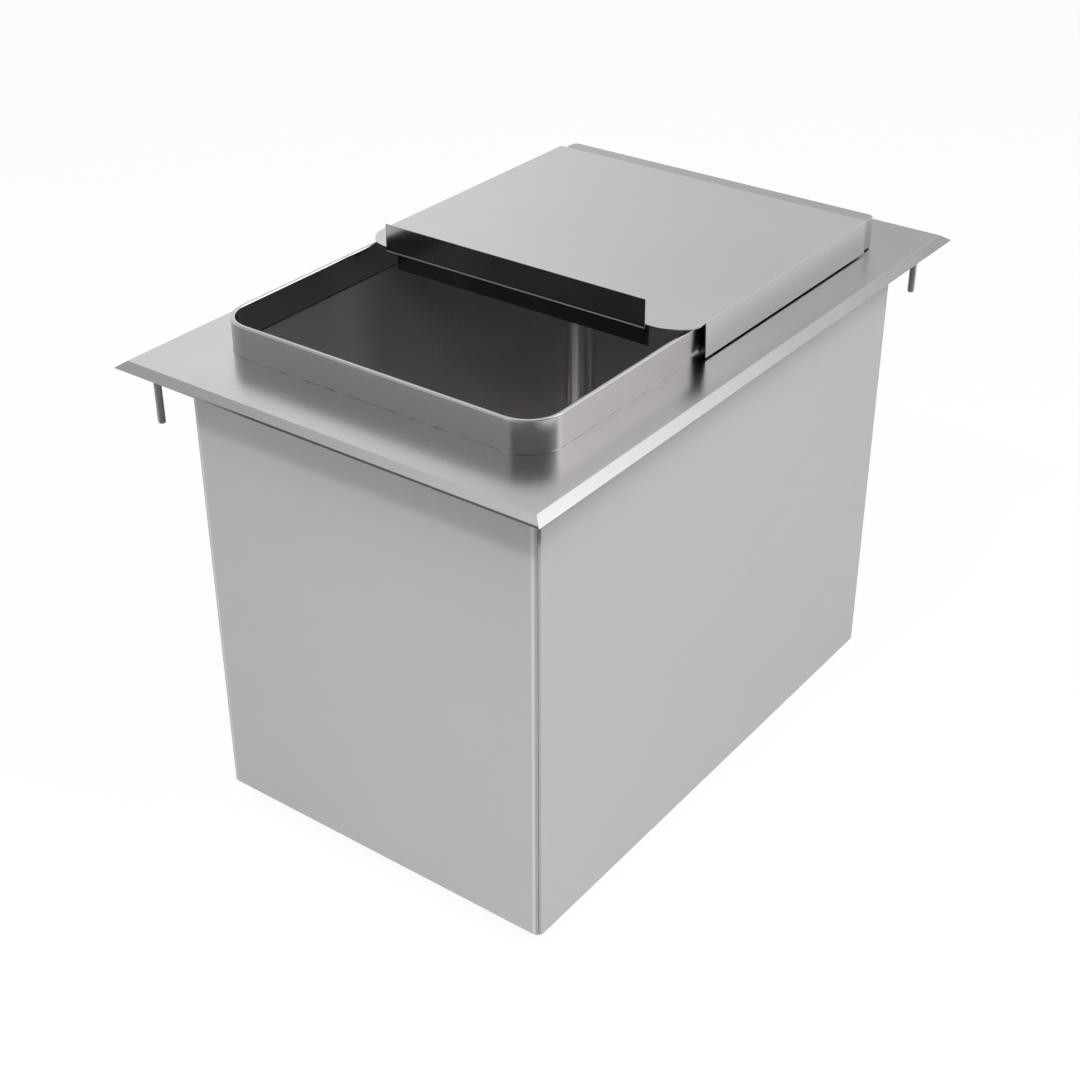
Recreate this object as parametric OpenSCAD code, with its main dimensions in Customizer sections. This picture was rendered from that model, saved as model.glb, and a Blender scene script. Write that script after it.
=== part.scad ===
// Drop-in ice bin for a bar counter: an insulated well that hangs by its flange, with a raised rim,
// a lift-off rear cover and a lid that slides over it. Millimetres, +Z up, +Y to the rear.
// The origin is on the counter top, in the middle of the flange.

/* [Flange] */
// Width of the flange, left to right
flange_w = 400; // [390:1:440]
// Depth of the flange, front to rear
flange_d = 606; // [600:1:660]
// How far the turned-down edge slopes outwards
edge_out = 7.8; // [4:0.1:12]
// How far the turned-down edge drops to the counter
edge_drop = 5.3; // [4:0.1:10]
// Width of the lip turned in under the edge
edge_lip = 6; // [5:0.5:9]
// Sheet thickness of the flange
deck_t = 1.2; // [0.8:0.1:1.6]

/* [Rim] */
// Height of the rim above the flange
rim_h = 26.5; // [20:0.5:40]
// Outer corner radius of the rim
rim_r = 30; // [20:1:50]
// Width of the folded hem that makes the rim
hem_w = 3.5; // [3:0.1:6]
// Sheet thickness of the rim
rim_t = 1.2; // [0.8:0.1:1.4]
// Radius of the fold along the top of the rim
hem_r = 1.2; // [0.4:0.1:1.5]

/* [Well] */
// Depth from the top of the flange to the ends of the floor
well_depth = 356; // [250:1:370]
// Fall of the floor from its ends to the drain
floor_fall = 8; // [3:0.5:14]
// Length of the level middle of the floor
floor_flat = 90; // [80:1:160]
// Sheet thickness of the well
liner_t = 1.2; // [0.8:0.1:1.6]
// Clearance around the flange of the drain in its round sump
sump_room = 2.8; // [1.5:0.1:6]
// Depth of the sump below the floor
sump_drop = 5; // [4.5:0.5:8]

/* [Casing] */
// How far the flange reaches beyond the casing on the left and right
overhang_side = 32.8; // [32:0.1:44]
// How far the flange reaches beyond the casing at the front and rear
overhang_end = 43.4; // [42:0.1:60]
// Sheet thickness of the casing
casing_t = 1; // [0.7:0.1:1.4]
// Outer radius of the bends at the upright corners
corner_r = 6; // [4:0.5:10]
// Width of the open seam between the two bends of a corner
corner_seam = 0.4; // [0.2:0.1:1.5]
// Height of the relief notch at the top of a corner seam
relief_h = 7; // [3:0.5:12]
// Width of the relief notch at the top of a corner seam
relief_w = 1.8; // [1:0.1:2.2]
// Height of the flange turned up around the bottom pan
pan_h = 12; // [8:0.5:20]

/* [Insulation] */
// Thickness of the boards on the left and right of the well
board_side = 16; // [12:0.1:24]
// Thickness of the board in front of the well
board_front = 20.4; // [14:0.1:30]
// Thickness of the board behind the well
board_rear = 28.2; // [20:0.1:40]
// Thickness of the board under the well
board_under = 47; // [44:0.1:80]
// Clearance around the sump in the board under the well
drain_room = 1.2; // [0.5:0.1:6]

/* [Studs] */
// Radius of the hold-down studs
stud_r = 3.175; // [2.5:0.005:5]
// Length of a stud below the flange
stud_len = 52; // [40:1:80]
// Distance from the left or right edge of the flange to the middle of a stud
stud_in_side = 24; // [20:0.5:27]
// Distance from the front or rear edge of the flange to the middle of a stud
stud_in_end = 20; // [18:0.5:36]

/* [Drain] */
// Outer radius of the threaded body of the drain
drain_r = 16.5; // [16:0.1:18]
// Radius of the flange of the drain body
drain_flange_r = 28; // [26:0.5:29]
// Thickness of the flange of the drain body
drain_flange_t = 3; // [2.5:0.1:3.2]
// Length of the drain body below its flange
drain_len = 24; // [22:0.5:28]
// Inner radius of the drain body
drain_bore_r = 13.5; // [12:0.1:14]
// Clearance around the drain body in the hole of the sump and in the gaskets
drain_hole_gap = 0.7; // [0.4:0.1:2]
// Thickness of the upper gasket
gasket_top_t = 1; // [0.8:0.1:1.2]
// Thickness of the lower gasket
gasket_low_t = 2; // [1:0.1:3]
// Outer radius of the lower gasket
gasket_low_r = 25; // [22:0.5:27]
// Distance across the flats of the locknut
nut_flats = 44; // [42:0.5:50]
// Height of the locknut
nut_h = 8; // [6:0.5:10]
// Radius of the strainer plate
strainer_r = 20.5; // [18:0.1:21]
// Thickness of the strainer plate
strainer_t = 1.2; // [0.8:0.1:1.4]
// Depth of the collar under the strainer plate
strainer_collar_h = 9; // [5:0.5:11]
// Radius of a strainer hole
strainer_hole_r = 1.75; // [1.5:0.05:2]
// Outer radius of the outlet nipple
nipple_r = 10.67; // [8:0.01:11]
// How much the radius is less at its threaded lower end
nipple_end_cut = 0.27; // [0.1:0.01:0.8]
// Length of its threaded lower end
nipple_end_len = 22; // [12:1:27]
// Wall of the outlet nipple
nipple_wall = 2.77; // [1.5:0.01:3.5]
// Length of the nipple below the casing
nipple_below = 30; // [20:1:60]
// Length of the nipple inside the drain body
nipple_in = 10; // [8:0.5:12]
// Outer radius of the rubber grommet in the bottom pan
grommet_r = 18; // [17:0.5:24]
// Thickness of each flange of the grommet
grommet_t = 1.8; // [1:0.1:3]

/* [Rear cover] */
// Sheet thickness of the rear cover
cover_t = 0.9; // [0.7:0.1:1.2]
// Gap between the rim and the skirt of the rear cover
cover_gap = 3; // [1:0.1:4]
// Length of the opening in front of the rear cover
scoop_len = 185.5; // [140:0.5:200]
// Radius of the front corners of the rear cover
cover_front_r = 17; // [10:0.5:20]
// Radius of the rear corners of the rear cover
cover_rear_r = 5; // [4:0.5:30]
// How far the skirts of the rear cover start behind those of the open lid
skirt_back = 6; // [2:0.5:20]
// Distance from a side of the rear cover to the end of the flange along its front
cover_flange_in = 32.9; // [30:0.1:60]
// Drop of the flange turned down along the front of the rear cover
cover_flange_drop = 19.9; // [8:0.1:24]
// Gap between the skirts and the flange of the bin
skirt_gap = 2.4; // [1.5:0.1:6]
// Outer radius of the bends of the rear cover and the lid
bend_r = 2; // [1.5:0.1:2.5]
// Gap between stacked sheets that rest or slide on each other
sheet_gap = 0.2; // [0.1:0.05:0.4]

/* [Sliding lid] */
// Sheet thickness of the sliding lid
lid_t = 0.9; // [0.7:0.1:1.2]
// Gap between the skirts of the rear cover and of the lid
lid_gap = 1.95; // [1:0.05:3]
// Distance from the rear edge of the open lid to the back of the rear cover
lid_back = 19.8; // [4:0.1:60]
// How far the open lid reaches in front of the rear cover
lid_reach = 10.2; // [5:0.1:20]
// Radius of the front corners of the lid
lid_corner_r = 29; // [25:0.5:33]
// Distance from a side of the lid to the end of the handle
handle_in = 32.75; // [32:0.05:60]
// Offset to the right of the handle, and of the flange under it, from the middle of the lid
handle_shift = -4; // [-4:0.5:4]
// Height of the handle above the lid
handle_h = 21.7; // [15:0.1:35]

/* [Hidden] */
$fn = 72;
// A little extra length on a cutting shape, so that it passes through a face
cut = 1;
// Running gap between a round piece and its hole
fit_gap = 0.15;

// Heights: the underside and the top of the flange, and the sheets stacked above the rim
deck_top = edge_drop;
deck_low = deck_top - deck_t;
rim_top = deck_top + rim_h;
cover_low = rim_top + sheet_gap;
cover_top = cover_low + cover_t;
lid_low = cover_top + sheet_gap;
lid_top = lid_low + lid_t;
skirt_low = deck_top + skirt_gap;

// Casing under the flange, and the clear space inside its sheets
casing_w = flange_w - 2 * overhang_side;
casing_d = flange_d - 2 * overhang_end;
room_w = casing_w - 2 * casing_t;
room_d = casing_d - 2 * casing_t;
room_r = corner_r - casing_t;
bend_turn = 45 - corner_seam / corner_r * 90 / PI;
relief_turn = relief_w / corner_r * 180 / PI;

// Inside of the well, between the boards of the insulation, and its middle behind the origin
well_w = room_w - 2 * (board_side + liner_t);
well_d = room_d - board_front - board_rear - 2 * liner_t;
well_back = (board_front - board_rear) / 2;
well_r = rim_r - hem_w;
floor_end = deck_top - well_depth;
floor_mid = floor_end - floor_fall;
sump_low = floor_mid - sump_drop;
sump_in_r = drain_flange_r + sump_room;
sump_r = sump_in_r + liner_t;

// Rim, whose inside is flush with the well
rim_w = well_w + 2 * hem_w;
rim_d = well_d + 2 * hem_w;
rim_front = well_back - rim_d / 2;

// Bottom of the insulation under the well, and of the casing
board_low = floor_mid - liner_t;
pan_top = board_low - board_under;
casing_low = pan_top - casing_t;

// Drain, from the top of its flange to the top of the nipple
flange_low = sump_low + gasket_top_t;
flange_top = flange_low + drain_flange_t;
body_low = flange_low - drain_len;
nipple_top = body_low + nipple_in;
seat_drop = strainer_t + fit_gap;
nut_top = sump_low - liner_t - gasket_low_t;
drain_hole_r = drain_r + drain_hole_gap;
grommet_hole_r = (nipple_r + grommet_r) / 2;

// Outlines of the rear cover and the lid, measured from the rim
cover_half = rim_w / 2 + cover_gap + cover_t;
cover_front = rim_front + scoop_len;
cover_rear = rim_front + rim_d + cover_gap + cover_t;
cover_flange_w = 2 * (cover_half - cover_flange_in);
lid_half = cover_half + lid_gap + lid_t;
lid_front = cover_front - lid_reach;
lid_rear = cover_rear - lid_back;
handle_w = 2 * (lid_half - handle_in);

// Rounded rectangle, centred
module round_rect(w, d, r) {
    square([w - 2 * r, d], center = true);
    square([w, d - 2 * r], center = true);
    for (x = [-1, 1], y = [-1, 1])
        translate([x * (w / 2 - r), y * (d / 2 - r)]) circle(r);
}

// Prism over a rounded rectangle between two heights
module round_prism(w, d, r, low, top) {
    translate([0, 0, low]) linear_extrude(top - low) round_rect(w, d, r);
}

// Prism along X of an outline drawn in Y and Z
module along_x(len) {
    rotate([90, 0, 90]) linear_extrude(len, center = true) children();
}

// Prism along Y of an outline drawn in X and Z
module along_y(len) {
    rotate([90, 0, 0]) linear_extrude(len, center = true) children();
}

// Outline drawn in X and Z, with X measured outwards from a rounded rectangle, swept around it
module sweep_round(w, d, r) {
    for (turn = [0, 180]) rotate(turn) {
        translate([w / 2, 0, 0]) along_y(d - 2 * r) children();
        translate([0, d / 2, 0]) rotate(90) along_y(w - 2 * r) children();
        for (y = [0, 1]) mirror([0, y, 0])
            translate([w / 2 - r, d / 2 - r, 0])
                rotate_extrude(angle = 90) translate([r, 0]) children();
    }
}

// Strip bent down from a sheet, drawn in X and Z: the bend ends at X = 0, its top is at Z = 0
module bent_edge(t, drop) {
    difference() {
        translate([-bend_r, -bend_r]) circle(bend_r);
        translate([-bend_r, -bend_r]) circle(bend_r - t);
        translate([-2 * bend_r - cut, -2 * bend_r]) square([bend_r + cut, 2 * bend_r + cut]);
        translate([-2 * bend_r, -2 * bend_r - cut]) square([2 * bend_r + cut, bend_r + cut]);
    }
    translate([-t, -drop]) square([t, drop - bend_r]);
}

// Outline of the floor sheet in Y and Z: sloping ends and a level middle
function floor_line(lift) = [
    [-well_d / 2 - liner_t, floor_end + lift], [-floor_flat / 2, floor_mid + lift],
    [floor_flat / 2, floor_mid + lift], [well_d / 2 + liner_t, floor_end + lift]];
function reversed(list) = [for (i = [len(list) - 1 : -1 : 0]) list[i]];

// Section of the turned-down edge in X and Z, with X measured outwards from the flange's side
module edge_section() {
    slant = norm([edge_out, edge_drop]);
    inset = deck_t * slant / edge_drop;
    slope = edge_out / edge_drop;
    polygon([
        [-2 * edge_out, deck_top], [-edge_out, deck_top], [0, 0], [-edge_lip, 0],
        [-edge_lip, deck_t], [-inset - slope * deck_t, deck_t],
        [-inset - slope * deck_low, deck_low], [-2 * edge_out, deck_low]]);
}

// One turned-down edge along Y on the right-hand side, mitred at both ends
module mitred_edge(half_w, len) {
    reach = 3 * edge_out;
    intersection() {
        translate([half_w, 0, 0]) along_y(len) edge_section();
        translate([half_w, 0, -cut]) linear_extrude(deck_top + 2 * cut)
            polygon([[0, -len / 2], [0, len / 2],
                [-reach, len / 2 - reach], [-reach, reach - len / 2]]);
    }
}

// Flange sheet, open over the well
module deck() {
    color("silver") {
        difference() {
            translate([edge_out - flange_w / 2, edge_out - flange_d / 2, deck_low])
                cube([flange_w - 2 * edge_out, flange_d - 2 * edge_out, deck_t]);
            translate([0, well_back, 0])
                round_prism(well_w, well_d, well_r, deck_low - cut, deck_top + cut);
        }
        for (turn = [0, 180]) rotate(turn) {
            mitred_edge(flange_w / 2, flange_d);
            rotate(90) mitred_edge(flange_d / 2, flange_w);
        }
    }
}

// Hem of the rim in X and Z: an outer and an inner skin joined by the fold along the top
module hem_section() {
    difference() {
        union() {
            translate([-hem_w, deck_top]) square([hem_w, rim_h - hem_r]);
            translate([hem_r - hem_w, deck_top]) square([hem_w - 2 * hem_r, rim_h]);
            for (x = [-hem_r, hem_r - hem_w]) translate([x, rim_top - hem_r]) circle(hem_r);
        }
        translate([rim_t - hem_w, deck_top - cut])
            square([hem_w - 2 * rim_t, rim_h - rim_t + cut]);
    }
}

module rim_collar() {
    color("gainsboro") translate([0, well_back, 0]) sweep_round(rim_w, rim_d, rim_r) hem_section();
}

// Walls of the well, wrapped around its corners and trimmed to the slope of the floor
module liner_walls() {
    low = sump_low - liner_t;
    color("darkgray") translate([0, well_back, 0]) difference() {
        round_prism(well_w + 2 * liner_t, well_d + 2 * liner_t, well_r + liner_t,
            low, deck_low);
        round_prism(well_w, well_d, well_r, low - cut, deck_low + cut);
        along_x(well_w + 4 * liner_t) polygon(concat(floor_line(-liner_t),
            [[well_d / 2 + liner_t + cut, floor_end - liner_t],
                [well_d / 2 + liner_t + cut, low - cut],
                [-well_d / 2 - liner_t - cut, low - cut],
                [-well_d / 2 - liner_t - cut, floor_end - liner_t]]));
    }
}

// Floor of the well, with the round sump that the drain is set into
module liner_floor() {
    color("darkgray") translate([0, well_back, 0]) difference() {
        union() {
            intersection() {
                along_x(well_w) polygon(concat(floor_line(0), reversed(floor_line(-liner_t))));
                round_prism(well_w, well_d, well_r, sump_low, floor_end + cut);
            }
            translate([0, 0, sump_low - liner_t])
                cylinder(r = sump_r, h = sump_drop + liner_t);
        }
        translate([0, 0, sump_low]) cylinder(r = sump_in_r, h = sump_drop + cut);
        translate([0, 0, sump_low - liner_t - cut])
            cylinder(r = drain_hole_r, h = liner_t + 2 * cut);
    }
}

// Casing panel along X whose upright edges are bent round the corners, standing at distance out.
// The bends may stop short of the top beside the seam, which leaves a relief notch there.
module casing_panel(w, out, notch_h) {
    tall = deck_low - casing_low;
    full_turn = bend_turn - (notch_h > 0 ? relief_turn : 0);
    translate([0, -out, casing_low]) {
        translate([corner_r - w / 2, 0, 0]) cube([w - 2 * corner_r, casing_t, tall]);
        for (x = [0, 1]) mirror([x, 0, 0]) translate([w / 2 - corner_r, corner_r, 0])
            rotate(-90) {
                corner_bend(full_turn, tall);
                corner_bend(bend_turn, tall - notch_h);
            }
    }
}

// Bend of a casing sheet around an upright corner
module corner_bend(turn, tall) {
    rotate_extrude(angle = turn) translate([corner_r - casing_t, 0]) square([casing_t, tall]);
}

module casing_front() {
    color("lightgray") casing_panel(casing_w, casing_d / 2, 0);
}

module casing_rear() {
    color("lightgray") rotate(180) casing_panel(casing_w, casing_d / 2, 0);
}

module casing_left() {
    color("whitesmoke") rotate(-90) casing_panel(casing_d, casing_w / 2, relief_h);
}

module casing_right() {
    color("whitesmoke") rotate(90) casing_panel(casing_d, casing_w / 2, relief_h);
}

// Bottom pan: its turned-up edge stands inside the four panels
module casing_bottom() {
    color("lightgray") difference() {
        round_prism(room_w, room_d, room_r, casing_low, casing_low + pan_h);
        round_prism(room_w - 2 * casing_t, room_d - 2 * casing_t, room_r - casing_t,
            pan_top, casing_low + pan_h + cut);
        translate([0, well_back, casing_low - cut])
            cylinder(r = grommet_hole_r, h = casing_t + 2 * cut);
    }
}

// Insulating board beside the well, kept inside the bends of the casing
module side_board(x0, x1, y0, y1) {
    color("khaki") intersection() {
        round_prism(room_w, room_d, room_r, board_low, deck_low);
        translate([x0, y0, board_low]) cube([x1 - x0, y1 - y0, deck_low - board_low]);
    }
}

module insulation_front() {
    side_board(-room_w / 2, room_w / 2, -room_d / 2, well_back - well_d / 2 - liner_t);
}

module insulation_rear() {
    side_board(-room_w / 2, room_w / 2, well_back + well_d / 2 + liner_t, room_d / 2);
}

module insulation_left() {
    side_board(-room_w / 2, -well_w / 2 - liner_t,
        well_back - well_d / 2 - liner_t, well_back + well_d / 2 + liner_t);
}

module insulation_right() {
    side_board(well_w / 2 + liner_t, room_w / 2,
        well_back - well_d / 2 - liner_t, well_back + well_d / 2 + liner_t);
}

// Bottom board: it carries the side boards and the level middle of the floor
module insulation_bottom() {
    color("khaki") difference() {
        round_prism(room_w - 2 * casing_t, room_d - 2 * casing_t, room_r - casing_t,
            pan_top, board_low);
        translate([0, well_back, pan_top - cut])
            cylinder(r = sump_r + drain_room, h = board_low - pan_top + 2 * cut);
    }
}

// Studs welded under two opposite corners of the flange, which pass down through the cut-out
// of the counter
module mounting_studs() {
    color("dimgray") for (turn = [0, 180]) rotate(turn)
        translate([flange_w / 2 - stud_in_side, flange_d / 2 - stud_in_end, deck_low - stud_len])
            cylinder(r = stud_r, h = stud_len);
}

// Drain body: flange in the sump, seat for the strainer, and a socket for the nipple below
module drain_body() {
    shoulder = 2;
    color("silver") translate([0, well_back, 0]) difference() {
        union() {
            translate([0, 0, flange_low]) cylinder(r = drain_flange_r, h = drain_flange_t);
            translate([0, 0, body_low]) cylinder(r = drain_r, h = drain_len);
        }
        translate([0, 0, flange_top - seat_drop])
            cylinder(r = strainer_r + 2 * fit_gap, h = seat_drop + cut);
        translate([0, 0, nipple_top + shoulder])
            cylinder(r = drain_bore_r, h = flange_top - nipple_top);
        translate([0, 0, body_low - cut])
            cylinder(r = nipple_r - nipple_wall, h = drain_len);
        translate([0, 0, body_low - cut]) cylinder(r = nipple_r + fit_gap / 3, h = nipple_in + cut);
    }
}

// Flat ring on the axis of the drain
module drain_ring(outer_r, inner_r, low, h) {
    translate([0, well_back, low]) difference() {
        cylinder(r = outer_r, h = h);
        translate([0, 0, -cut]) cylinder(r = inner_r, h = h + 2 * cut);
    }
}

module drain_gasket_upper() {
    color("black") drain_ring(drain_flange_r, drain_hole_r, sump_low, gasket_top_t);
}

module drain_gasket_lower() {
    color("saddlebrown") drain_ring(gasket_low_r, drain_hole_r, nut_top, gasket_low_t);
}

module drain_locknut() {
    color("gray") translate([0, well_back, nut_top - nut_h]) difference() {
        cylinder(r = nut_flats / sqrt(3), h = nut_h, $fn = 6);
        translate([0, 0, -cut]) cylinder(r = drain_r + fit_gap / 3, h = nut_h + 2 * cut);
    }
}

// Strainer that lies in the drain body: a plate with two rings of holes over a short collar
module drain_strainer() {
    collar_r = drain_bore_r - 2 * fit_gap;
    plate_low = flange_top - strainer_t;
    color("gainsboro") translate([0, well_back, 0]) difference() {
        union() {
            translate([0, 0, plate_low]) cylinder(r = strainer_r, h = strainer_t);
            translate([0, 0, plate_low - strainer_collar_h])
                cylinder(r = collar_r, h = strainer_collar_h);
        }
        translate([0, 0, plate_low - strainer_collar_h - cut])
            cylinder(r = collar_r - strainer_t, h = strainer_collar_h + cut);
        for (ring = [[5, 6], [9.3, 12]], i = [1 : ring[1]])
            rotate(i * 360 / ring[1]) translate([ring[0], 0, plate_low - cut])
                cylinder(r = strainer_hole_r, h = strainer_t + 2 * cut, $fn = 24);
    }
}

// Outlet nipple, whose threaded lower end takes the drain line under the bin
module drain_nipple() {
    low = casing_low - nipple_below;
    inner_r = nipple_r - nipple_wall;
    color("silver") {
        drain_ring(nipple_r - nipple_end_cut, inner_r, low, nipple_end_len);
        drain_ring(nipple_r, inner_r, low + nipple_end_len, nipple_top - low - nipple_end_len);
    }
}

// Grommet that grips the edge of the hole in the bottom pan, between its two flanges
module drain_grommet() {
    low = casing_low - grommet_t;
    color("black") translate([0, well_back, 0]) difference() {
        union() {
            translate([0, 0, low]) cylinder(r = grommet_r, h = grommet_t);
            translate([0, 0, casing_low]) cylinder(r = grommet_hole_r, h = casing_t);
            translate([0, 0, pan_top]) cylinder(r = grommet_r, h = grommet_t);
        }
        translate([0, 0, low - cut])
            cylinder(r = nipple_r + fit_gap / 3, h = casing_t + 2 * grommet_t + 2 * cut);
    }
}

// Plate of a cover whose front corners are rounded. Its edges stop at the start of each bend:
// half is the half width, front_r the radius of the front corners, folded the width of the
// strip along the front that is folded up or down.
module cover_plate(half, front, rear, front_r, folded) {
    side_front = front + front_r;
    difference() {
        union() {
            translate([bend_r - half, side_front])
                square([2 * (half - bend_r), rear - side_front]);
            translate([front_r - half, front]) square([2 * (half - front_r), front_r]);
            for (x = [-1, 1]) translate([x * (half - front_r), side_front]) intersection() {
                circle(front_r);
                translate([-front_r, -front_r]) square([2 * front_r, front_r]);
            }
        }
        translate([handle_shift - folded / 2, front - cut]) square([folded, bend_r + cut]);
    }
}

// Rear cover: skirts on three sides and a flange turned down into the well along its front
module rear_cover() {
    skirt_drop = cover_top - skirt_low;
    rear_run = cover_rear - cover_rear_r;
    side_front = cover_front + cover_front_r;
    skirt_front = max(side_front, lid_front + lid_corner_r + skirt_back);
    color("silver") {
        translate([0, 0, cover_low]) linear_extrude(cover_t) {
            cover_plate(cover_half, cover_front, rear_run, cover_front_r, cover_flange_w);
            translate([-cover_half, side_front])
                square([2 * cover_half, skirt_front - side_front]);
            translate([cover_rear_r - cover_half, rear_run])
                square([2 * (cover_half - cover_rear_r), cover_rear_r - bend_r]);
            for (x = [-1, 1]) translate([x * (cover_half - cover_rear_r), rear_run])
                circle(cover_rear_r - bend_r);
        }
        for (x = [0, 1]) mirror([x, 0, 0]) {
            translate([cover_half, (skirt_front + rear_run) / 2, cover_top])
                along_y(rear_run - skirt_front) bent_edge(cover_t, skirt_drop);
            translate([cover_half - cover_rear_r, rear_run, cover_top])
                rotate_extrude(angle = 90)
                    translate([cover_rear_r, 0]) bent_edge(cover_t, skirt_drop);
        }
        translate([0, cover_rear, cover_top]) rotate(90)
            along_y(2 * (cover_half - cover_rear_r)) bent_edge(cover_t, skirt_drop);
        translate([handle_shift, cover_front, cover_top]) rotate(-90)
            along_y(cover_flange_w) bent_edge(cover_t, cover_flange_drop);
    }
}

// Lid that slides over the rear cover: side skirts, round front corners and an upturned handle
module sliding_lid() {
    skirt_front = lid_front + lid_corner_r;
    skirt_len = lid_rear - skirt_front;
    color("gainsboro") {
        translate([0, 0, lid_low]) linear_extrude(lid_t)
            cover_plate(lid_half, lid_front, lid_rear, lid_corner_r, handle_w);
        for (x = [0, 1]) mirror([x, 0, 0])
            translate([lid_half, skirt_front + skirt_len / 2, lid_top])
                along_y(skirt_len) bent_edge(lid_t, lid_top - skirt_low);
        translate([handle_shift, lid_front, lid_low]) rotate(-90) mirror([0, 0, 1])
            along_y(handle_w) bent_edge(lid_t, handle_h + lid_t);
    }
}

deck();
rim_collar();
liner_walls();
liner_floor();
casing_front();
casing_rear();
casing_left();
casing_right();
casing_bottom();
insulation_front();
insulation_rear();
insulation_left();
insulation_right();
insulation_bottom();
mounting_studs();
drain_body();
drain_gasket_upper();
drain_gasket_lower();
drain_locknut();
drain_strainer();
drain_nipple();
drain_grommet();
rear_cover();
sliding_lid();
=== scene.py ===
from math import ceil, cos, hypot, radians, sin
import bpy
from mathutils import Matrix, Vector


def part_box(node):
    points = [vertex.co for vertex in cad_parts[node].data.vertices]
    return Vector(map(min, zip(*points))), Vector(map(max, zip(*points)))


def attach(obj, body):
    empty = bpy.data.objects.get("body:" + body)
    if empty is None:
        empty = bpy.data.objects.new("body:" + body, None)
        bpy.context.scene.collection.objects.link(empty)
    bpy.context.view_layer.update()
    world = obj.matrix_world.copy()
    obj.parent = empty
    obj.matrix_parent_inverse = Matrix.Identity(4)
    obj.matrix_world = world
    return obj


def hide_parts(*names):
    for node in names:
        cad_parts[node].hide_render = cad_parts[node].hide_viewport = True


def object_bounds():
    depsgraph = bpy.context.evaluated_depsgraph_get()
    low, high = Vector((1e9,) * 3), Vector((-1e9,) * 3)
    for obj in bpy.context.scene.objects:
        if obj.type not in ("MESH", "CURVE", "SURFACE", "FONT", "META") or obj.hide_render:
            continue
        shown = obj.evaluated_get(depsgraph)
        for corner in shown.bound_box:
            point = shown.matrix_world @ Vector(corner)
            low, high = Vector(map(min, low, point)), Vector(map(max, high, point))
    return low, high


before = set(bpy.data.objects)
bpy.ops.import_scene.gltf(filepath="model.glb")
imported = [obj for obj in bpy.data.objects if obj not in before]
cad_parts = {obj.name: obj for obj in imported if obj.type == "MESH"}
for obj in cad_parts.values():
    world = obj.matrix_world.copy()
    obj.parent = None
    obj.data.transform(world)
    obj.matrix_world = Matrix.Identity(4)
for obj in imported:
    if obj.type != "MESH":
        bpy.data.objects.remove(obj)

from types import SimpleNamespace

import bmesh
import bpy
from bpy.props import FloatProperty, FloatVectorProperty, IntProperty, PointerProperty
from bpy.types import NodeSocket, Operator, Panel, PropertyGroup
from mathutils import Matrix, Vector

bl_info = {
    "name": "Drop-in ice bin",
    "version": (1, 0, 0),
    "blender": (4, 5, 0),
    "location": "View3D > Sidebar > Ice bin",
    "description": "Makes the visible sheet metal, studs, drain and studio of a drop-in ice bin",
    "category": "Add Mesh",
}

CAD_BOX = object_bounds()
MM = 0.001
# Distance in metres under which two points are one
WELD = 1e-5
# Distances in millimetres within which an edge lies on a plane: tight and loose
TIGHT, LOOSE = 0.02, 0.1
# Faces that meet at less than this, in degrees, are shaded as one
SMOOTH_UP_TO = 35


def middle(a, b):
    return (a + b) / 2


# Selecting and shaping, as by hand

def edit():
    bpy.ops.object.mode_set(mode="EDIT")


def leave_edit():
    bpy.ops.object.mode_set(mode="OBJECT")


def select_all(kind=None):
    if kind:
        bpy.ops.mesh.select_mode(type=kind)
    bpy.ops.mesh.select_all(action="SELECT")


def deselect():
    if bpy.context.object and bpy.context.object.mode != "OBJECT":
        leave_edit()
    bpy.ops.object.select_all(action="DESELECT")


def select_only(obj):
    deselect()
    obj.select_set(True)
    bpy.context.view_layer.objects.active = obj


def apply_place():
    bpy.ops.object.transform_apply(location=True, rotation=True, scale=True)


def begin(name, size=None):
    """Names and sizes the primitive that was just added, and opens it with nothing selected."""
    obj = bpy.context.object
    obj.name = obj.data.name = name
    if size:
        obj.scale = [side * MM for side in size]
    apply_place()
    edit()
    bpy.ops.mesh.select_all(action="DESELECT")
    return obj


def pick(kind, test, more=False):
    """Selects the vertices, edges or faces whose centre c and points p, in mm, pass the test."""
    bpy.ops.mesh.select_mode(type=kind)
    if not more:
        bpy.ops.mesh.select_all(action="DESELECT")
    mesh = bpy.context.edit_object.data
    bm = bmesh.from_edit_mesh(mesh)
    found = False
    for item in {"VERT": bm.verts, "EDGE": bm.edges, "FACE": bm.faces}[kind]:
        places = [item.co] if kind == "VERT" else [v.co for v in item.verts]
        centre = sum(places, Vector()) / len(places) / MM
        if test(centre, [p / MM for p in places]):
            item.select_set(True)
            found = True
    bm.select_flush_mode()
    bmesh.update_edit_mesh(mesh)
    if not found:
        raise RuntimeError("nothing to select on " + bpy.context.edit_object.name)


def on(axis, value):
    """A test for what lies wholly in the plane where that axis has that value."""
    return lambda c, p: all(abs(q[axis] - value) < TIGHT for q in p)


def outline(x, y, gap=LOOSE):
    """A test for what lies along a side of the rectangle from -x, -y to x, y."""
    return lambda c, p: (
        all(abs(abs(q.x) - x) < gap for q in p) or all(abs(abs(q.y) - y) < gap for q in p)
    )


def both(first, second):
    return lambda c, p: first(c, p) and second(c, p)


def move(x=0.0, y=0.0, z=0.0):
    bpy.ops.transform.translate(value=(x * MM, y * MM, z * MM))


def extrude_edges(z):
    bpy.ops.mesh.extrude_edges_indiv()
    move(z=z)


def extrude_faces(z):
    bpy.ops.mesh.extrude_region_move(TRANSFORM_OT_translate={"value": (0, 0, z * MM)})


def split_at(axis, value):
    """Cuts all faces along the plane where that axis has that value."""
    place, normal = [0, 0, 0], [0, 0, 0]
    place[axis], normal[axis] = value * MM, 1
    select_all()
    bpy.ops.mesh.bisect(plane_co=place, plane_no=normal)


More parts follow.
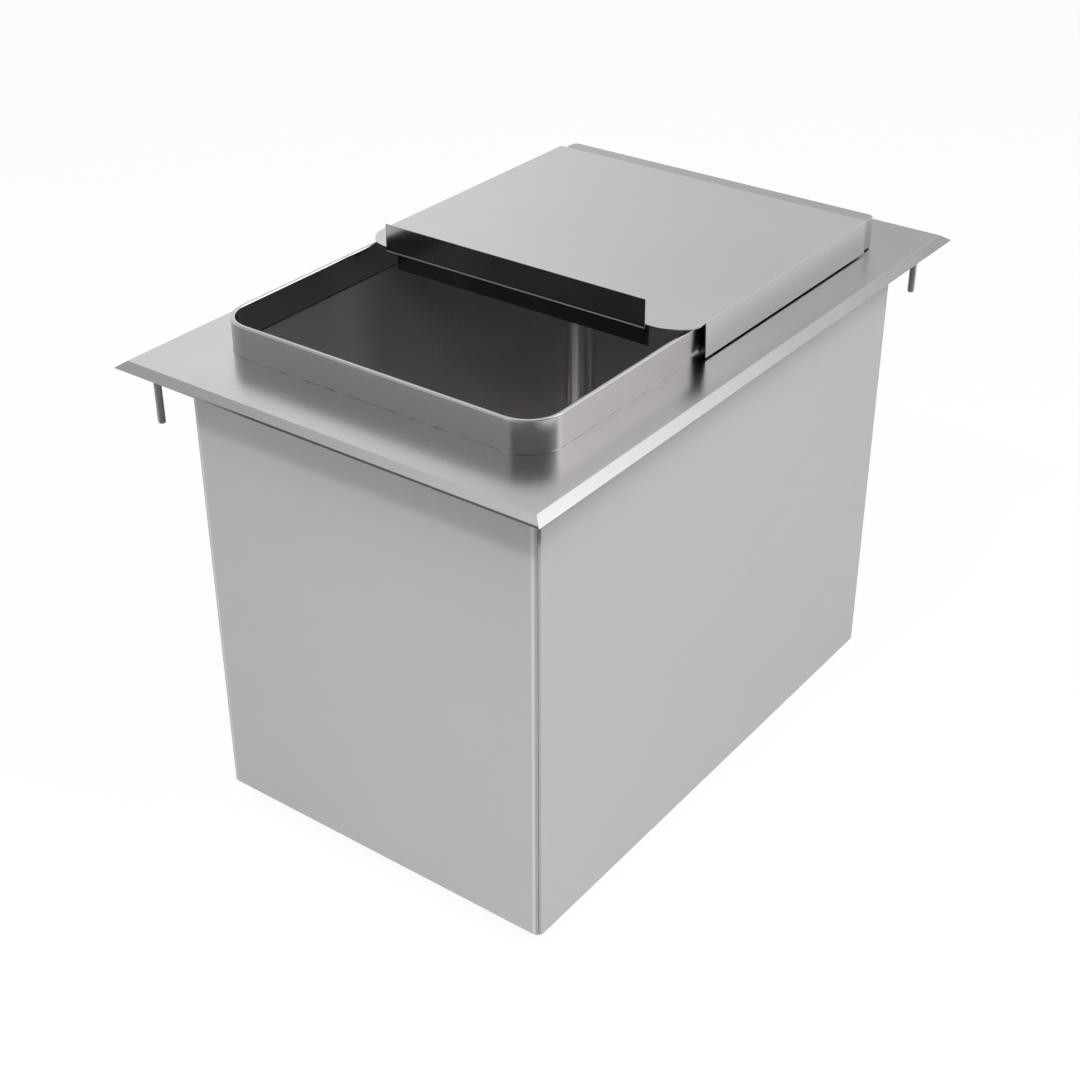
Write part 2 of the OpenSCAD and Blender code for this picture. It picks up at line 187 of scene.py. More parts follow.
def stretch(x, y=1.0, middle_y=0.0):
    bpy.ops.transform.resize(value=(x, y, 1), center_override=(0, middle_y * MM, 0))


def delete(kind):
    bpy.ops.mesh.delete(type=kind)


def round_fold(radius, segments=3):
    """Turns the selected folds into bends."""
    bpy.ops.mesh.bevel(offset=radius * MM, segments=segments, affect="EDGES", clamp_overlap=True)


def flat_sheet(name, low, high, z):
    """A level rectangle from low to high in X and Y, opened in edit mode."""
    deselect()
    bpy.ops.mesh.primitive_plane_add(
        size=1, location=(middle(low[0], high[0]) * MM, middle(low[1], high[1]) * MM, z * MM),
    )
    return begin(name, (high[0] - low[0], high[1] - low[1], 1))


def round_corners(test, radius, segments):
    pick("VERT", test)
    bpy.ops.mesh.bevel(
        offset=radius * MM, segments=segments, affect="VERTICES", profile=0.5,
        clamp_overlap=False,
    )


def rounded_outline(name, low, high, radius, z, segments):
    """A level rectangle from low to high in X and Y with round corners, as one face."""
    obj = flat_sheet(name, low, high, z)
    round_corners(lambda c, p: True, radius, segments)
    return obj


def close_edit(outward=None):
    """Merges doubles and leaves edit mode, the faces turned so that the largest one passes."""
    obj = bpy.context.edit_object
    select_all()
    bpy.ops.mesh.remove_doubles(threshold=WELD)
    bpy.ops.mesh.normals_make_consistent(inside=False)
    if outward:
        bm = bmesh.from_edit_mesh(obj.data)
        largest = max(bm.faces, key=lambda face: face.calc_area())
        if not outward(largest.calc_center_median() / MM, largest.normal):
            bpy.ops.mesh.flip_normals()
    bpy.ops.mesh.select_all(action="DESELECT")
    leave_edit()
    return obj


def modify(obj, kind, **values):
    """Adds a modifier with these values and applies it."""
    select_only(obj)
    bpy.ops.object.modifier_add(type=kind)
    modifier = obj.modifiers[-1]
    for key, value in values.items():
        setattr(modifier, key, value)
    bpy.ops.object.modifier_apply(modifier=modifier.name)


def thicken(obj, thickness):
    modify(obj, "SOLIDIFY", thickness=thickness * MM, offset=-1, use_even_offset=True)


def eased(obj, width, segments, angle):
    """Softens the edges where faces meet at more than an angle."""
    modify(
        obj, "BEVEL", width=width * MM, segments=segments, limit_method="ANGLE",
        angle_limit=radians(angle), miter_outer="MITER_ARC", use_clamp_overlap=True,
    )


def round_bar(name, radius, low, high, x=0.0, y=0.0, top_radius=None, vertices=24):
    """An upright cylinder or cone between two heights."""
    deselect()
    bpy.ops.mesh.primitive_cone_add(
        vertices=vertices, radius1=radius * MM, radius2=(top_radius or radius) * MM,
        depth=(high - low) * MM, location=(x * MM, y * MM, middle(low, high) * MM),
    )
    return begin(name)


def joined(name, pieces):
    """Joins objects into the first one."""
    deselect()
    for piece in pieces:
        piece.select_set(True)
    bpy.context.view_layer.objects.active = pieces[0]
    bpy.ops.object.join()
    obj = bpy.context.object
    obj.name = obj.data.name = name
    return obj


def turned(obj, angle):
    """Turns an object about the middle of the bin, with its place kept in its mesh."""
    select_only(obj)
    obj.rotation_euler = (0, 0, radians(angle))
    apply_place()
    return obj


def copied(obj, name):
    select_only(obj)
    bpy.ops.object.duplicate()
    copy = bpy.context.object
    copy.name = copy.data.name = name
    return copy


def thread(name, radius, depth, pitch, low, high, steps, x, y):
    """A helical thread between two heights on an upright axis, with flat ends."""
    deselect()
    bpy.ops.mesh.primitive_plane_add(size=1, rotation=(radians(90), 0, 0))
    obj = begin(name, (radius, pitch, 1))
    pick("VERT", lambda c, p: c.x < 0)
    delete("VERT")
    select_all()
    move(x=radius / 2 - depth, z=low - pitch)
    bpy.ops.mesh.subdivide(number_cuts=1)
    pick("VERT", lambda c, p: abs(c.z - low + pitch) < pitch / 8)
    move(x=depth)
    leave_edit()
    modify(
        obj, "SCREW", axis="Z", angle=radians(360), screw_offset=pitch * MM,
        iterations=ceil((high - low) / pitch) + 2, steps=steps, render_steps=steps,
        use_merge_vertices=True, merge_threshold=WELD,
    )
    edit()
    for z, side in ((low, -1), (high, 1)):
        select_all()
        bpy.ops.mesh.remove_doubles(threshold=WELD)
        select_all()
        bpy.ops.mesh.bisect(
            plane_co=(0, 0, z * MM), plane_no=(0, 0, side), use_fill=True, clear_outer=True,
        )
    select_all()
    move(x, y)
    return close_edit()


def done(obj, body, material, replaced):
    """Shades a finished piece, gives it its finish, and lets it ride on its body."""
    select_only(obj)
    bpy.ops.object.shade_smooth_by_angle(angle=radians(SMOOTH_UP_TO))
    modify(obj, "WEIGHTED_NORMAL", keep_sharp=True, weight=50)
    obj.data.materials.clear()
    obj.data.materials.append(material)
    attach(obj, body)
    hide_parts(*replaced)
    deselect()


def merged_copy(node, name):
    """A copy of a CAD node's mesh with its points merged, as the start of a finer piece."""
    obj = bpy.data.objects.new(name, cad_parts[node].data.copy())
    obj.data.name = name
    bpy.context.scene.collection.objects.link(obj)
    select_only(obj)
    edit()
    select_all()
    bpy.ops.mesh.remove_doubles(threshold=WELD / 5)
    bpy.ops.mesh.customdata_custom_splitnormals_clear()
    bpy.ops.mesh.tris_convert_to_quads(face_threshold=0.02, shape_threshold=3.1)
    leave_edit()
    return obj


# Finishes

# Frequencies of noise, per metre: across the lines of the brushing, along them on level and on
# upright faces, and for blotches, smears, rings from turning and foam cells
ACROSS, ALONG, ALONG_UPRIGHT = 1500.0, 16.0, 14.0
BLOTCH, SMEAR, RING, CELL = 5.0, 24.0, 1600.0, 900.0
# How much streaks and smears change the roughness, and the share and shade of a streak's colour
STREAK_WEAR, SMEAR_WEAR = 0.02, (-0.015, 0.02)
STREAK_SHARE, STREAK_SHADE = 0.07, 0.6


class Nodes:
    """Adds nodes to a tree and links them. Each node is given back as its outputs."""

    def __init__(self, tree):
        self.tree = tree

    def node(self, kind, inputs=None, **values):
        made = self.tree.nodes.new("ShaderNode" + kind)
        for key, value in values.items():
            setattr(made, key, value)
        for key, value in (inputs or {}).items():
            if isinstance(value, NodeSocket):
                self.tree.links.new(value, made.inputs[key])
            else:
                made.inputs[key].default_value = value
        return made.outputs

    def spread(self, value, low, high, start=0.3, end=0.7, curve="LINEAR"):
        """Maps a value between start and end to the range from low to high."""
        return self.node("MapRange", {
            "Value": value, "From Min": start, "From Max": end, "To Min": low, "To Max": high,
        }, interpolation_type=curve)[0]

    def beyond(self, value, edge, soft):
        """0 up to an edge in millimetres and 1 past it, over a soft width."""
        return self.spread(value, 0, 1, edge * MM, (edge + soft) * MM)

    def below(self, value, edge, soft):
        return self.spread(value, 1, 0, edge * MM, (edge + soft) * MM)

    def maths(self, operation, first, second=0.0):
        return self.node("Math", {0: first, 1: second}, operation=operation)[0]

    def dot(self, first, second):
        return self.node("VectorMath", {0: first, 1: second}, operation="DOT_PRODUCT")["Value"]

    def axes(self, vector):
        return self.node("SeparateXYZ", {0: vector})

    def normal(self):
        return self.node("NewGeometry")["Normal"]

    def mix(self, share, first, second):
        return self.node("Mix", {0: share, 2: first, 3: second}, data_type="FLOAT")[0]

    def tint(self, share, *colours):
        first, second = (c if isinstance(c, NodeSocket) else (*c, 1) for c in colours)
        return self.node("Mix", {0: share, 6: first, 7: second}, data_type="RGBA")[2]


class Finish(Nodes):
    """A material under construction."""

    def __init__(self, name, colour, roughness, metallic):
        self.material = bpy.data.materials.new(name)
        self.material.use_nodes = True
        self.material.diffuse_color = (*colour, 1)
        self.colour = colour
        super().__init__(self.material.node_tree)
        self.shader = self.tree.nodes["Principled BSDF"]
        for name, value in (
            ("Base Color", (*colour, 1)), ("Roughness", roughness), ("Metallic", metallic),
        ):
            self.shader.inputs[name].default_value = value
        self.place = self.node("TexCoord")["Object"]

    def set(self, name, socket):
        self.tree.links.new(socket, self.shader.inputs[name])

    def noise(self, stretch, detail=3.0, shift=(0, 0, 0)):
        """Noise over the piece, with one frequency per metre, or its own along each axis."""
        if isinstance(stretch, float):
            stretch = (stretch, stretch, stretch)
        place = self.node("Mapping", {"Vector": self.place, "Scale": stretch, "Location": shift})
        return self.node("TexNoise", {
            "Vector": place[0], "Scale": 1.0, "Detail": detail, "Roughness": 0.55,
        })["Fac"]

    def speckle(self, pattern, first, second):
        """Varies the colour with a pattern between two shades of it."""
        self.set("Base Color", self.tint(
            self.spread(pattern, 0, 1), shade(self.colour, first), shade(self.colour, second),
        ))

    def relief(self, height, distance, strength):
        self.set("Normal", self.node(
            "Bump", {"Height": height, "Distance": distance, "Strength": strength},
        )[0])


def shade(colour, factor):
    return tuple(min(1.0, c * factor) for c in colour)


def brushed_steel(
    name, colour, roughness, metallic=1.0, along=0, grain=1.0, cloud=0.03,
    forward=None, ahead_painted_shade=1.0,
):
    """Brushed sheet: fine lines along one axis on level faces and level lines on upright ones."""
    made = Finish(name, colour, roughness, metallic)
    stretch = [ACROSS, ACROSS, ACROSS]
    stretch[along] = ALONG
    level = made.noise(tuple(stretch), detail=2.0)
    upright = made.noise((ALONG_UPRIGHT, ALONG_UPRIGHT, ACROSS), detail=2.0)
    facing = made.axes(made.normal())
    level_share = made.spread(made.maths("ABSOLUTE", facing[2]), 0, 1, 0.5, 0.8)
    streak = made.mix(level_share, upright, level)
    blotch = made.noise(BLOTCH, detail=2.0)
    smear = made.noise(SMEAR, shift=(3.0, 1.0, 2.0))
    wear_and_shadow = roughness
    if forward is not None:
        # Faces that look forwards are smoother, and their colour gets painted shade for the dark
        # reflection they show
        ahead = made.spread(facing[1], 1, 0, -0.95, -0.6)
        wear_and_shadow = made.mix(ahead, roughness, forward)
    wear_and_shadow = made.maths("ADD", wear_and_shadow, made.spread(streak, -STREAK_WEAR * grain, STREAK_WEAR * grain))
    made.wear_and_shadow = made.maths("ADD", wear_and_shadow, made.spread(smear, *SMEAR_WEAR))
    made.set("Roughness", made.wear_and_shadow)
    base = made.tint(
        made.spread(blotch, 0, 1), shade(colour, 1 - cloud), shade(colour, 1 + cloud),
    )
    streaks = made.spread(streak, 0, STREAK_SHARE * grain)
    base = made.tint(streaks, base, shade(colour, STREAK_SHADE))
    # Painted shade: the colour of faces that look forwards is darkened by a factor
    if forward is not None:
        base = made.tint(ahead, base, shade(colour, ahead_painted_shade))
    made.set("Base Color", base)
    made.relief(streak, 0.00001, 0.5 * grain)
    made.base = base
    return made


def repaint(made, share, factor):
    """Where the share is 1, the colour becomes the plain colour times the factor."""
    made.base = made.tint(share, made.base, shade(made.colour, factor))
    made.set("Base Color", made.base)


# How far before its start the painted fold shadow sets in, and over what length it grows, in
# millimetres
FADE_IN, FADE = 4, 64


def paint_fold_shadow(made, height, start):
    """Painted shadow on the forward faces at the foot of the front fold, from a place in X on."""
    place = made.axes(made.place)
    ahead = made.spread(made.axes(made.normal())[1], 1, 0, -0.5, -0.35)
    foot = made.below(place[2], height, 0.3)
    along = made.beyond(place[0], start - FADE_IN, FADE)
    dark = made.maths("MULTIPLY", made.maths("MULTIPLY", ahead, foot), along)
    repaint(made, dark, 0.2)


def polished_inside(made, colour, roughness):
    """Faces that look towards the middle of the piece are polished and lighter."""
    inside = made.spread(made.dot(made.normal(), made.place), 1, 0, -0.1, -0.05)
    made.base = made.tint(inside, made.base, colour)
    made.set("Roughness", made.mix(inside, made.wear_and_shadow, roughness))


def painted_light_band(made, axis, start, factor, height=None):
    """Painted light: past a distance from the middle along an axis, and above a height, the colour
    is scaled by a factor, a painted highlight above 1 and painted shade below 1.
    """
    place = made.axes(made.place)
    band = made.beyond(made.maths("ABSOLUTE", place[axis]), start, 0.8)
    if height is not None:
        band = made.maths("MULTIPLY", band, made.beyond(place[2], height - 3, 6))
    repaint(made, band, factor)


def ground_weld(made, height):
    """The weld below a height is ground: a thin, broken, darker line."""
    foot = made.below(made.axes(made.place)[2], height, 0.2)
    broken = made.spread(made.noise((70.0, 70.0, 10.0)), 0.45, 0.95, 0.35, 0.6)
    repaint(made, made.maths("MULTIPLY", foot, broken), 0.3)


def turned_metal(name, colour, roughness):
    """Turned parts: rings from the tool, a little duller in places."""
    made = Finish(name, colour, roughness, 1.0)
    dull = made.noise(140.0)
    made.set("Roughness", made.spread(dull, roughness - 0.06, roughness + 0.1))
    made.speckle(dull, 1.04, 0.86)
    made.relief(made.noise((60.0, 60.0, RING)), 0.00003, 0.3)
    return made.material


def foam_board(name, colour):
    made = Finish(name, colour, 0.9, 0.0)
    cells = made.node("TexVoronoi", {"Vector": made.place, "Scale": CELL, "Randomness": 1.0})
    made.speckle(made.noise(30.0, detail=4.0), 0.9, 1.06)
    made.relief(cells["Distance"], 0.0004, 0.6)
    return made.material


def moulded(name, colour, roughness, grain):
    """Rubber and pressed fibre: a speckled, softly pitted surface."""
    made = Finish(name, colour, roughness, 0.0)
    grit = made.noise(grain, detail=4.0)
    made.speckle(grit, 0.75, 1.3)
    made.set("Roughness", made.spread(grit, roughness - 0.08, roughness + 0.08))
    made.relief(grit, 0.0001, 0.5)
    return made.material


# Sizes and colours that a user may change

def number(name, description, default, low=0.0, **values):
    return FloatProperty(name=name, description=description, default=default, min=low, **values)


def length(name, description, default, low=0.0):
    """A length given in millimetres."""
    return number(
        name, description, default * MM, low, max=2.0, subtype="DISTANCE", unit="LENGTH",
        precision=5,
    )


def turn_of(name, description, default):
    """An angle given in degrees."""
    return number(name, description, radians(default), subtype="ANGLE", unit="ROTATION")


def share_of(name, description, default, high=1.0):
    return number(name, description, default, max=high, subtype="FACTOR")


def power_of(name, description, default):
    return number(name, description, default, subtype="POWER", unit="POWER")


def colour_of(what, default):
    return FloatVectorProperty(
        name=what.capitalize(), description="Colour of the " + what, default=default, size=3,
        min=0.0, max=1.0, subtype="COLOR",
    )


class IceBinFinishes(PropertyGroup):
    flange: colour_of("flange and rim", (0.54, 0.525, 0.53))
    casing: colour_of("dull casing", (0.55, 0.527, 0.54))
    well: colour_of("polished well", (0.95, 0.925, 0.952))
    lid: colour_of("sliding lid", (0.62, 0.605, 0.61))
    cover: colour_of("rear cover", (0.48, 0.469, 0.48))
    fitting: colour_of("turned drain parts", (0.56, 0.55, 0.54))
    stud: colour_of("threaded studs", (0.42, 0.41, 0.42))
    foam: colour_of("foam boards", (0.6, 0.57, 0.5))
    gloss: share_of("Sheet roughness", "Roughness of the flange and rim", 0.24)
    satin: share_of("Lid roughness", "Roughness of the lid and the rear cover", 0.34)
    polish: share_of("Well roughness", "Roughness of the sheet of the well", 0.17)
    mirror: share_of("Handle roughness", "Roughness of the fronts of handle and cover", 0.16)
    # The next two darken the fronts of the handle and of the cover's flange as painted shade for
    # their dark reflection
    handle_painted_shade: share_of("Handle shade", "Colour of the handle's front against the lid's", 0.56)
    flange_painted_shade: share_of("Flange shade", "Colour of the front flange against the cover's", 0.32)
    dull: share_of("Casing roughness", "Roughness of the casing", 0.42)
    casing_metal: share_of("Casing metal", "How much of the casing's sheen is metallic", 0.15)
    # The next three scale the casing's colour as painted light: a highlight on the bends, shade
    # beside the seams, and shadow at the top of the side panels' seams
    bend_painted_highlight: share_of("Bright bends", "Colour of the bends against the casing's", 1.26, 2)
    seam_painted_shade: share_of("Dull seams", "Colour of the seams against the casing's", 0.72, 2)
    seam_top_painted_shadow: share_of("Dark notches", "Colour of the seams' tops against the casing's", 0.35, 2)
    well_metal: share_of("Well metal", "How much of the well's sheen is metallic", 0.935)


class IceBinSheets(PropertyGroup):
    sheet: length("Flange sheet", "Thickness of the flange and the well", 1.2)
    thin: length("Cover sheet", "Thickness of the covers", 0.9)
    pan: length("Casing sheet", "Thickness of the casing", 1.0)
    slope_out: length("Edge slope", "How far the turned-down edge slopes out", 7.8)
    lip: length("Edge lip", "Width of the lip turned in under the edge", 6.0)
    # The next two place the painted shadow at the foot of the front fold: its height and where in X
    # it starts
    wear_and_shadow: length("Worn edge", "Height of the dull cut edge under the front fold", 0.9)
    fold_shadow_start: length("Worn edge start", "Place in X from which that edge is dull", -122.0, -1.0)
    hem: length("Hem width", "Width of the folded hem of the rim", 3.5)
    hem_fold: length("Hem fold", "Radius of the fold along the top of the rim", 1.2)
    seal: length("Rim weld", "Size of the thin weld around the foot of the rim", 0.35)
    rim_radius: length("Rim corner", "Outer corner radius of the rim", 30.0)
    lid_radius: length("Lid corner", "Radius of the front corners of the lid", 29.0)
    cover_radius: length("Cover corner", "Radius of the front corners of the rear cover", 17.0)
    cover_rear_radius: length("Cover rear corner", "Radius of its rear corners", 5.0)
    cover_skirt: length("Cover skirt start", "How far its skirts start behind the lid's", 6.0)
    skirt_gap: length("Skirt gap", "Gap between the skirts and the flange", 1.5)
    bend: length("Cover bend", "Radius of the bends of the covers", 0.9)
    cover_rise: length("Cover rise", "Rise of the rear cover above its plain solid", 0.8)
    lid_gap: length("Lid gap", "Gap between the rear cover and the lid over it", 1.2)
    lid_lean: length("Lid lean", "How far the skirts of the lid lean inwards", 1.0)
    handle_foot: length("Handle foot", "Reach of the handle below the top of the lid", 4.0)
    bead: length("Handle bead", "Size of the bead along the foot of the handle", 0.65)
    handle_side: length("Handle inset", "From a side of the lid to the end of the handle", 32.75)
    handle_shift: length("Handle offset", "Offset of the handle to the right", -4.0, -1.0)
    flange_side: length("Cover flange inset", "From a side of the cover to its front flange", 32.9)
    flange_drop: length("Cover flange drop", "Drop of the front flange of the rear cover", 19.9)
    casing_bend: length("Casing bend", "Outer radius of the bends at the casing's corners", 6.0)
    # The next two size painted light: the width of the painted shade beside a corner seam, and the
    # height of the painted shadow at the top of a seam
    seam: length("Casing seam", "Width of the dull band beside a corner seam", 4.3)
    notch: length("Seam notch", "Height of the dark notch at the top of a corner seam", 50.0)
    relief: length("Casing notch", "Height of the notch at the top of a corner seam", 7.0)
    pan_edge: length("Pan bend", "Radius of the bend around the bottom pan", 1.5)


class IceBinAngles(PropertyGroup):
    bend_turn: turn_of("Corner bend", "Turn of a casing panel up to the seam", 42.704)
    relief_turn: turn_of("Notch turn", "Part of that turn that the notch takes away", 17.189)


class IceBinThreads(PropertyGroup):
    stud_radius: length("Stud radius", "Outer radius of a stud's thread", 3.175)
    stud_pitch: length("Stud pitch", "Distance between two turns of a stud's thread", 1.27)
    stud_depth: length("Stud thread depth", "Depth of a stud's thread", 0.5)
    stud_tip: length("Stud tip", "Length of the plain rounded tip of a stud", 1.4)
    weld: length("Stud weld", "Size of the weld around the top of a stud", 2.2)
    pipe_radius: length("Pipe radius", "Outer radius of the outlet's thread", 10.4)
    pipe_pitch: length("Pipe pitch", "Distance between two turns of its thread", 1.81)
    pipe_depth: length("Pipe thread depth", "Depth of the outlet's thread", 0.9)
    pipe_thread: length("Pipe thread length", "Length of the outlet's thread", 22.0)
    steps: IntProperty(
        name="Thread steps", description="Steps in one turn of a thread", default=24, min=8, max=64,
    )


class IceBinStudio(PropertyGroup):
    lens: number("Lens", "Focal length in millimetres", 60.81)
    key: power_of("Key lamp", "Power of the small lamp that draws shadows", 20.0)
    front: power_of("Front lamp", "Power of the soft lamp before the right corner", 30.0)
    top: power_of("Top lamp", "Power of the lamp above the front", 20.5)
    side: power_of("Side lamp", "Power of the lamp on the right", 40.0)
    sky: share_of("Sky", "Brightness of the room in diffuse light", 0.08, 4.0)
    room: share_of("Room", "Brightness of the room as polished metal shows it", 1.0, 4.0)


def finishes():
    return bpy.context.scene.ice_bin_finishes


def in_mm(group):
    """The values of a property group, its lengths in millimetres."""
    group = getattr(bpy.context.scene, group)
    values = {name: getattr(group, name) for name in group.__annotations__}
    return SimpleNamespace(**{
        name: value / MM if isinstance(value, float) else value for name, value in values.items()
    })


def sheets():
    return in_mm("ice_bin_sheets")


def box_mm(node):
    low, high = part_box(node)
    return low / MM, high / MM


# Pieces

# Softening in millimetres of the covers' cut edges, the casing's cut edges and the flange's folds
COVER_EASE, CASING_EASE, FLANGE_FOLD = 0.12, 0.15, 0.45
# How far a painted bend highlight reaches past its bend, and how far a panel laps its painted seam
# shade
HIGHLIGHT_REACH, LAP = 0.9, 0.4
# Length over which the lid steps back beside the handle, and the softening of the handle's bars
STEP_BACK, BAR_EASE = 0.5, 0.175
# Ends of the outlet's thread from those of its stretch, and how far the pipe covers its core
THREAD_FOOT, THREAD_TOP, CORE_COVER = 0.8, 0.6, 0.05


class ICEBIN_OT_deck(Operator):
    """Makes the flange sheet with its mitred, turned-down edges"""
    bl_idname = "icebin.deck"
    bl_label = "Flange sheet"

    def execute(self, context):
        s, f = sheets(), finishes()
        low, high = box_mm("deck")
        rim_low, rim_high = box_mm("rim_collar")
        hem, top, out, lip = s.hem, high.z, s.slope_out, 2 * s.lip
        obj = rounded_outline(
            "deck_sheet", (rim_low.x + hem, rim_low.y + hem),
            (rim_high.x - hem, rim_high.y - hem), s.rim_radius - hem, top, segments=10,
        )
        select_all("FACE")
        delete("ONLY_FACE")
        # A unit square becomes the outer outline, and the sheet spans between the two outlines
        bpy.ops.mesh.primitive_plane_add(size=1)
        delete("ONLY_FACE")
        pick("VERT", outline(0.5 / MM, 0.5 / MM))
        wide, deep = high.x - low.x - 2 * out, high.y - low.y - 2 * out
        stretch(wide * MM, deep * MM)
        move(z=top)
        select_all("EDGE")
        bpy.ops.mesh.bridge_edge_loops()
        # The edge slopes down to the counter, and a lip turns in under it
        for x, y, z in (
            (high.x - low.x, high.y - low.y, -top),
            (high.x - low.x - lip, high.y - low.y - lip, 0),
        ):
            pick("EDGE", outline(wide / 2, deep / 2, TIGHT))
            extrude_edges(z)
            stretch(x / wide, y / deep)
            wide, deep = x, y
        close_edit(lambda c, n: n.z > 0)
        thicken(obj, s.sheet)
        # Folds and mitres are rounded, and the hole stays sharp and flush under the rim
        edit()
        pick("EDGE", both(lambda c, p: c.z > top - LOOSE, outline(high.x - out, high.y - out)))
        pick("EDGE", both(
            lambda c, p: all(q.z < LOOSE for q in p), outline(high.x, high.y),
        ), more=True)
        pick("EDGE", lambda c, p: (
            abs(p[0].z - p[1].z) > top - 2 * LOOSE
            and max(abs(q.x) for q in p) > high.x - LOOSE
            and max(abs(q.y) for q in p) > high.y - LOOSE
        ), more=True)
        round_fold(FLANGE_FOLD, segments=2)
        leave_edit()
        steel = brushed_steel("brushed_flange", f.flange, f.gloss)
        # Painted shadow along the foot of the front fold, where the casing stands behind it
        paint_fold_shadow(steel, s.wear_and_shadow, s.fold_shadow_start)
        done(obj, "bin", steel.material, ["deck"])
        return {"FINISHED"}


class ICEBIN_OT_rim(Operator):
    """Makes the raised rim with its folded top and the thin weld around its foot"""
    bl_idname = "icebin.rim"
    bl_label = "Raised rim"

    def execute(self, context):
        s, f = sheets(), finishes()
        low, high = box_mm("rim_collar")
        tall, seal = high.z - low.z, s.seal
        obj = rounded_outline(
            "rim_hem", (low.x - seal, low.y - seal), (high.x + seal, high.y + seal),
            s.rim_radius + seal, low.z, segments=14,
        )
        select_all("FACE")
        # The weld slopes up to the wall, the wall rises, and the hem folds over and comes down
        bpy.ops.mesh.inset(thickness=seal * MM, depth=seal * MM, use_even_offset=True)
        extrude_faces(tall - seal)
        bpy.ops.mesh.inset(thickness=s.hem * MM, use_even_offset=True)
        extrude_faces(-tall)
        delete("FACE")
        close_edit()
        eased(obj, s.hem_fold, segments=4, angle=60)
        edit()
        pick("EDGE", on(2, low.z))
        bpy.ops.mesh.bridge_edge_loops()
        close_edit()
        steel = brushed_steel("brushed_rim", f.flange, f.gloss - 0.02, along=1)
        polished_inside(steel, f.well, f.polish)
        ground_weld(steel, low.z + seal)
        done(obj, "bin", steel.material, ["rim_collar"])
        return {"FINISHED"}


class ICEBIN_OT_well(Operator):
    """Makes the walls and the floor of the well"""
    bl_idname = "icebin.well"
    bl_label = "Well"

    def execute(self, context):
        s, f = sheets(), finishes()
        steel = brushed_steel(
            "polished_well", f.well, f.polish, f.well_metal, along=1, grain=0.7, cloud=0.01,
        ).material
        low, high = box_mm("liner_walls")
        sheet = s.sheet
        obj = rounded_outline(
            "well_walls", (low.x + sheet, low.y + sheet), (high.x - sheet, high.y - sheet),
            s.rim_radius - s.hem, high.z, segments=16,
        )
        pick("EDGE", on(2, high.z))
        extrude_edges(box_mm("insulation_bottom")[1].z - high.z)
        pick("FACE", on(2, high.z))
        delete("ONLY_FACE")
        close_edit(lambda c, n: c.x * n.x + c.y * n.y < 0)
        thicken(obj, sheet)
        done(obj, "bin", steel, ["liner_walls"])
        floor = merged_copy("liner_floor", "well_floor")
        done(floor, "bin", steel, ["liner_floor"])
        return {"FINISHED"}


